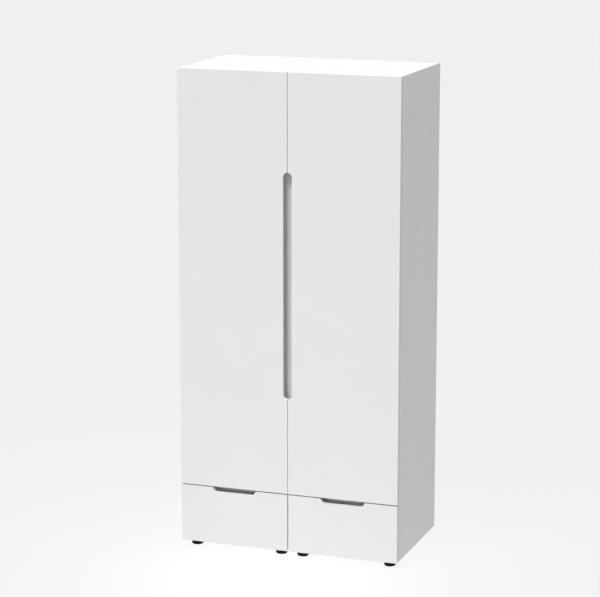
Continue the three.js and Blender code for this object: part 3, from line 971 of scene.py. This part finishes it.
def drawer_front(finishes):
    """A front with a shallow notch in its top edge: sloping ends, rounded into the floor."""
    low, high = box("drawer_front")
    centre = (low.x + high.x) / 2
    bottom = high.z - NOTCH_DEPTH
    run = NOTCH_TOP_HALF - NOTCH_BOTTOM_HALF
    slope = hypot(run, NOTCH_DEPTH)
    steps = 8
    half = []
    for step in range(steps + 1):
        t = step / steps
        up = NOTCH_RADIUS * (1 - t) ** 2
        across = up * run / slope - NOTCH_RADIUS * t ** 2
        half.append((NOTCH_BOTTOM_HALF + across, bottom + up * NOTCH_DEPTH / slope))
    right = [(NOTCH_TOP_HALF, high.z)] + half
    outline = [(low.x, low.z), (high.x, low.z), (high.x, high.z)]
    outline += [(centre + x, z) for x, z in right] + [(centre - x, z) for x, z in reversed(right)]
    outline.append((low.x, high.z))
    data = board_faces(slab(outline, "y", low.y, high.y), "y")
    add("drawer_front_board", data, "drawer", finishes, ["drawer_front"])


# ---- Hinges ------------------------------------------------------------

def hinge_x(inwards):
    return box("outer_side_panel")[1].x - inwards


def hinge_point(place):
    """Plan position of a hinge point from its distances inwards and out."""
    return Vector((hinge_x(place[0]), box("outer_side_panel")[0].y - place[1]))


def cup(metal):
    """Pressed cup with a flange and two screwed ears."""
    rear = box("door")[1].y
    inner = CUP_RADIUS - CUP_SHEET
    bend = 2.5 * MM

    def corner(radius, floor):
        turns = [k * pi / 8 for k in range(5)]
        return [(radius - bend + bend * sin(a), floor + bend * (1 - cos(a))) for a in turns]

    outside = [(0, -CUP_DEPTH)] + corner(CUP_RADIUS, -CUP_DEPTH) + [(CUP_RADIUS, GAP)]
    inside = [(0, -CUP_DEPTH + CUP_SHEET)] + corner(inner, -CUP_DEPTH + CUP_SHEET) + [(inner, GAP)]
    bowl = turned(outside + inside[::-1], 48)
    bowl.transform(facing((0, 0, 0), (0, 1, 0)))
    ears = arc((-EAR_OFFSET, EAR_SPREAD), EAR_RADIUS, 0, pi, 12)
    ears += arc((-EAR_OFFSET, -EAR_SPREAD), EAR_RADIUS, pi, 2 * pi, 12)
    plate = slab(ears, "y", GAP, GAP + CUP_FLANGE, SHEET_EDGE)
    ring = slab(circle((0, 0), CUP_FLANGE_RADIUS, 48), "y", GAP, GAP + CUP_FLANGE, SHEET_EDGE)
    mouth = slab(circle((0, 0), inner, 48), "y", -CUP_FLANGE, 3 * CUP_FLANGE, 0)
    flange = cut(combined(plate, ring, "UNION"), mouth)
    head = screw_head(*CUP_SCREW)
    screws = [
        (head, facing((-EAR_OFFSET, GAP + CUP_FLANGE, up * EAR_SPREAD), (0, 1, 0))) for up in (1, -1)
    ]
    whole = joined([bowl, flange] + screws)
    for where in HINGES:
        at = Matrix.Translation((hinge_x(CUP_INWARDS), rear, middle(f"{where}_hinge_cup").z))
        add(f"{where}_cup_pressing", joined([(whole, at)]), "door", [metal],
            [f"{where}_hinge_cup"])


def arm_body():
    """The hollow arm, forked at its front end round the link's eye."""
    seat = BOARD + GAP + PLATE
    pivot_in, pivot_out = LINK_PIVOT
    nose = pivot_out + LINK_EYE_RADIUS - 0.6 * MM
    plan = [
        (seat, ARM_SEAT_FRONT), (seat, ARM_SEAT_REAR), ARM_TAIL, ARM_HEEL, ARM_CREST,
        (pivot_in + LINK_EYE_RADIUS, ARM_NECK), (pivot_in + LINK_EYE_RADIUS, pivot_out),
        (pivot_in + 2 * MM, nose), (pivot_in - 2 * MM, nose),
        (pivot_in - LINK_EYE_RADIUS, pivot_out), ARM_THROAT,
    ]
    body = slab([hinge_point(p) for p in plan], "z", -ARM_HEIGHT / 2, ARM_HEIGHT / 2, 0.8 * MM)
    fork = [hinge_point(p) for p in rectangle(FORK_NEAR, FORK_FAR)]
    return cut(body, slab(fork, "z", -FORK_HEIGHT / 2, FORK_HEIGHT / 2, 0))


def mounting_plate():
    """The cross-shaped plate on the side panel that the arm clips to, with its two screws."""
    face = hinge_x(BOARD + GAP)
    front = box("outer_side_panel")[0].y
    nose, tail = front + 20 * MM, front + 57 * MM
    wing_front, wing_rear = front + 30 * MM, front + 44 * MM
    half, wing_half = 10 * MM, 26 * MM
    outline = [
        (nose, -half), (nose, half), (wing_front, half), (wing_front, wing_half),
        (wing_rear, wing_half), (wing_rear, half), (tail, half), (tail, -half),
        (wing_rear, -half), (wing_rear, -wing_half), (wing_front, -wing_half), (wing_front, -half),
    ]
    head = screw_head(*PLATE_SCREW)
    wing_y = (wing_front + wing_rear) / 2
    screws = [
        (head, facing((face - PLATE, wing_y, up * PLATE_SCREW_SPREAD), (-1, 0, 0))) for up in (1, -1)
    ]
    return [slab(outline, "x", face - PLATE, face, 0.4 * MM)] + screws


def arm_pin():
    """The link's pin, bevelled at both ends, through the arm's fork."""
    half = ARM_HEIGHT / 2 + SLACK
    bevel = 0.4 * MM
    tip = 0.7 * HINGE_PIN_RADIUS
    at = hinge_point(LINK_PIVOT)
    pin = turned([
        (0, -half), (tip, -half), (HINGE_PIN_RADIUS, bevel - half), (HINGE_PIN_RADIUS, half - bevel),
        (tip, half), (0, half),
    ], 20)
    return pin, Matrix.Translation((at.x, at.y, 0))


def arm(metal):
    """Hinge arm, mounting plate, pin and screws, once for each hinge."""
    back_face = (hinge_point(ARM_CREST) - hinge_point(ARM_HEEL)).normalized()
    outward = Vector((-back_face.y, back_face.x, 0))
    if outward.x > 0:
        outward.negate()
    head = screw_head(*ARM_SCREW)
    screws = [(head, facing(hinge_point(seat).to_3d(), outward)) for seat in ARM_SCREW_SEATS]
    whole = joined([arm_body(), *mounting_plate(), arm_pin()] + screws)
    for where in HINGES:
        at = Matrix.Translation((0, 0, middle(f"{where}_hinge_arm").z))
        add(f"{where}_arm_and_plate", joined([(whole, at)]), "carcass", [metal],
            [f"{where}_hinge_arm"])


def link(metal):
    """Bowed link from the arm's pin to the cup, with an eye at each end."""
    pivot = hinge_point(LINK_PIVOT)
    tip = hinge_point(LINK_TIP)
    span = (tip - pivot).length
    radius = (span * span / 4 + LINK_BOW * LINK_BOW) / (2 * LINK_BOW)
    drop = radius - LINK_BOW
    half = atan2(span / 2, drop)
    centre = (span / 2, drop)
    outer = arc(centre, radius + LINK_HALF_THICKNESS, -pi / 2 - half, -pi / 2 + half, 20)
    inner = arc(centre, radius - LINK_HALF_THICKNESS, -pi / 2 + half, -pi / 2 - half, 20)
    tall = LINK_HEIGHT / 2
    bar = slab(outer + inner, "z", -tall, tall, LINK_EDGE)
    eye = slab(circle((0, 0), LINK_EYE_RADIUS, 28), "z", -tall, tall, LINK_EDGE)
    knuckle = slab(circle((span, 0), LINK_KNUCKLE_RADIUS, 20), "z", -tall, tall, LINK_EDGE)
    bore = slab(circle((0, 0), HINGE_PIN_RADIUS + SLACK, 20), "z", -2 * tall, 2 * tall, 0)
    shape = cut(combined(combined(bar, eye, "UNION"), knuckle, "UNION"), bore)
    turn = atan2(tip.y - pivot.y, tip.x - pivot.x)
    for where in HINGES:
        at = Matrix.Translation((pivot.x, pivot.y, middle(f"{where}_hinge_link").z))
        data = joined([(shape, at @ Matrix.Rotation(turn, 4, "Z"))])
        add(f"{where}_bowed_link", data, "hinge_links", [metal],
            [f"{where}_hinge_link"])


# ---- Drawers and their runners -----------------------------------------

def drawer_box(finishes, base_finish, metal):
    """Two sides, a back and a base, with cams to the front and screws into the back."""
    for name in ("drawer_inner_side", "drawer_outer_side"):
        low, high = box(name)
        outline = rectangle((low.y, low.z), (high.y, high.z))
        side = board_faces(slab(outline, "x", low.x, high.x, DRAWER_EDGE), "x")
        add(f"{name}_board", side, "drawer", finishes, [name])
    low, high = box("drawer_back")
    outline = rectangle((low.x, low.z), (high.x, high.z))
    rear_board = board_faces(slab(outline, "y", low.y, high.y, DRAWER_EDGE), "y")
    add("drawer_back_board", rear_board, "drawer", finishes, ["drawer_back"])
    low, high = box("drawer_base")
    base = slab(rectangle(low, high), "z", low.z, high.z, SHEET_EDGE)
    add("drawer_base_sheet", base, "drawer", [base_finish], ["drawer_base"])
    fixings = []
    disc = cam()
    head = screw_head(*DRAWER_SCREW)
    for name, inward in (("drawer_inner_side", 1), ("drawer_outer_side", -1)):
        low, high = box(name)
        inside, outside = (high.x, low.x) if inward > 0 else (low.x, high.x)
        heights = (low.z + DRAWER_FIXING_INSET, high.z - DRAWER_FIXING_INSET)
        fixings += [(disc, facing((inside, low.y + CAM_INSET, z), (inward, 0, 0))) for z in heights]
        rear = (high.y + box("drawer_back")[0].y) / 2
        fixings += [(head, facing((outside, rear, z), (-inward, 0, 0))) for z in heights]
    add("drawer_fixings", joined(fixings), "drawer", [metal])


def roller(centre_y, centre_z, near, far):
    """A grooved roller with dished ends, lying across the runner."""
    half = abs(far - near) / 2
    rim, hub, bore = ROLLER_RADIUS, 4.5 * MM, 2.3 * MM
    dish, lip, edge, step = 0.8 * MM, 1.2 * MM, 0.4 * MM, 0.5 * MM
    profile = [
        (bore, -half), (hub, -half), (hub, dish - half), (rim - 1.5 * lip, dish - half),
        (rim - lip, -half), (rim - edge, -half), (rim, step - half), (rim, -2 * step),
        (rim - step, -step),
    ]
    profile += [(r, -h) for r, h in reversed(profile)]
    data = turned(profile, 40, closed=True)
    return data, facing(((near + far) / 2, centre_y, centre_z), (1, 0, 0))


def axle(centre_y, centre_z, start, end):
    """A riveted stub axle with a head at its free end."""
    length = abs(end - start)
    shoulder, crown, edge = AXLE_HEAD_RADIUS - 0.2 * MM, 2.4 * MM, 0.4 * MM
    profile = [
        (0, 0), (AXLE_RADIUS, 0), (AXLE_RADIUS, length - AXLE_HEAD),
        (AXLE_HEAD_RADIUS, length - AXLE_HEAD), (shoulder, length - edge), (crown, length),
        (0, length),
    ]
    return turned(profile, 20), facing((start, centre_y, centre_z), (1 if end > start else -1, 0, 0))


def cabinet_section():
    """The channel on the side panel: web, foot with a turned-up edge, and lip."""
    sheet, foot_end, lip_z = RUNNER_SHEET, RUNNER_FOOT, RUNNER_TALL - RUNNER_SHEET
    return [
        (0, 0), (foot_end, 0), (foot_end, RUNNER_TURN_UP), (foot_end - sheet, RUNNER_TURN_UP),
        (foot_end - sheet, sheet), (sheet, sheet), (sheet, lip_z), (RUNNER_LIP, lip_z),
        (RUNNER_LIP, RUNNER_TALL), (0, RUNNER_TALL),
    ]


def drawer_section(drawer_face, base_z):
    """The drawer's member: a ledge under the base, a plate beside it and a flange on the roller."""
    far = drawer_face - GAP
    near = far - RUNNER_SHEET
    ledge_end = drawer_face + DRAWER_LEDGE
    ledge_top = base_z - DRAWER_LEDGE_GAP
    ledge_z = ledge_top - RUNNER_SHEET
    flange_end = ROLLER_NEAR + 1 * MM
    flange_top = DRAWER_FLANGE_HEIGHT + RUNNER_SHEET
    return [
        (near, ledge_z), (ledge_end, ledge_z), (ledge_end, ledge_top), (far, ledge_top),
        (far, flange_top), (flange_end, flange_top), (flange_end, DRAWER_FLANGE_HEIGHT),
        (near, DRAWER_FLANGE_HEIGHT),
    ]


def runners(coat, plastic, metal):
    """Roller runners: a channel on each side panel and an angle under each drawer side."""
    for name, inward in (("inner", 1), ("outer", -1)):
        low, high = box(f"{name}_runner")
        side_low, side_high = box(f"drawer_{name}_side")
        web = low.x if inward > 0 else high.x
        drawer_face = abs((side_low.x if inward > 0 else side_high.x) - web)

        def across(distance, web=web, inward=inward):
            return web + inward * distance

        def member(section, start, end, across=across, floor_z=low.z):
            return slab([(across(d), floor_z + z) for d, z in section], "y", start, end, RUNNER_EDGE)

        channel = member(cabinet_section(), low.y, high.y)
        add(f"{name}_cabinet_member", channel, "carcass", [coat], [f"{name}_runner"])
        axle_y = low.y + ROLLER_END_INSET
        axle_z = low.z + DRAWER_FLANGE_HEIGHT - ROLLER_PLAY - ROLLER_RADIUS
        wheel = roller(axle_y, axle_z, across(ROLLER_NEAR), across(ROLLER_FAR))
        add(f"{name}_cabinet_roller", joined([wheel]), "carcass", [plastic])
        rivet = axle(axle_y, axle_z, across(RUNNER_SHEET), across(RUNNER_FOOT - 2 * SLACK))
        head = screw_head(*RUNNER_SCREW)
        screw_z = low.z + RUNNER_TALL / 2
        screws = [
            (head, facing((across(RUNNER_SHEET), low.y + reach, screw_z), (inward, 0, 0)))
            for reach in RUNNER_SCREW_PLACES
        ]
        add(f"{name}_cabinet_fixings", joined([rivet] + screws), "carcass", [metal])

        section = drawer_section(drawer_face, box("drawer_base")[0].z - low.z)
        angle = member(section, side_low.y + 1 * MM, side_high.y)
        add(f"{name}_drawer_member", angle, "drawer", [coat])
        axle_y = side_high.y - ROLLER_END_INSET
        axle_z = low.z + RUNNER_SHEET + ROLLER_PLAY + ROLLER_RADIUS
        wheel = roller(axle_y, axle_z, across(ROLLER_NEAR), across(ROLLER_FAR))
        add(f"{name}_drawer_roller", joined([wheel]), "drawer", [plastic])
        plate_near = drawer_face - GAP - RUNNER_SHEET
        rivet = axle(axle_y, axle_z, across(plate_near), across(RUNNER_SHEET + 4 * SLACK))
        add(f"{name}_drawer_roller_axle", joined([rivet]), "drawer", [metal])


# ---- The wardrobe in its studio ----------------------------------------

scene.view_settings.view_transform = "Standard"
camera()
world()
floor()
lamps()

boards = [melamine(), edge_band(), chipboard()]
sheet_finish = hardboard()
plastic_finish = white_plastic()
nickel_finish = nickel()
coat_finish = enamel()

side_panels(boards)
batten(boards)
flat_boards(boards)
back(sheet_finish, nickel_finish)
carcass_fittings(nickel_finish)
hanging_rail(chrome(), plastic_finish, nickel_finish)
feet(black_plastic())
door(boards, plastic_finish)
drawer_front(boards)
cup(nickel_finish)
arm(nickel_finish)
link(nickel_finish)
drawer_box(boards, sheet_finish, nickel_finish)
runners(coat_finish, plastic_finish, nickel_finish)
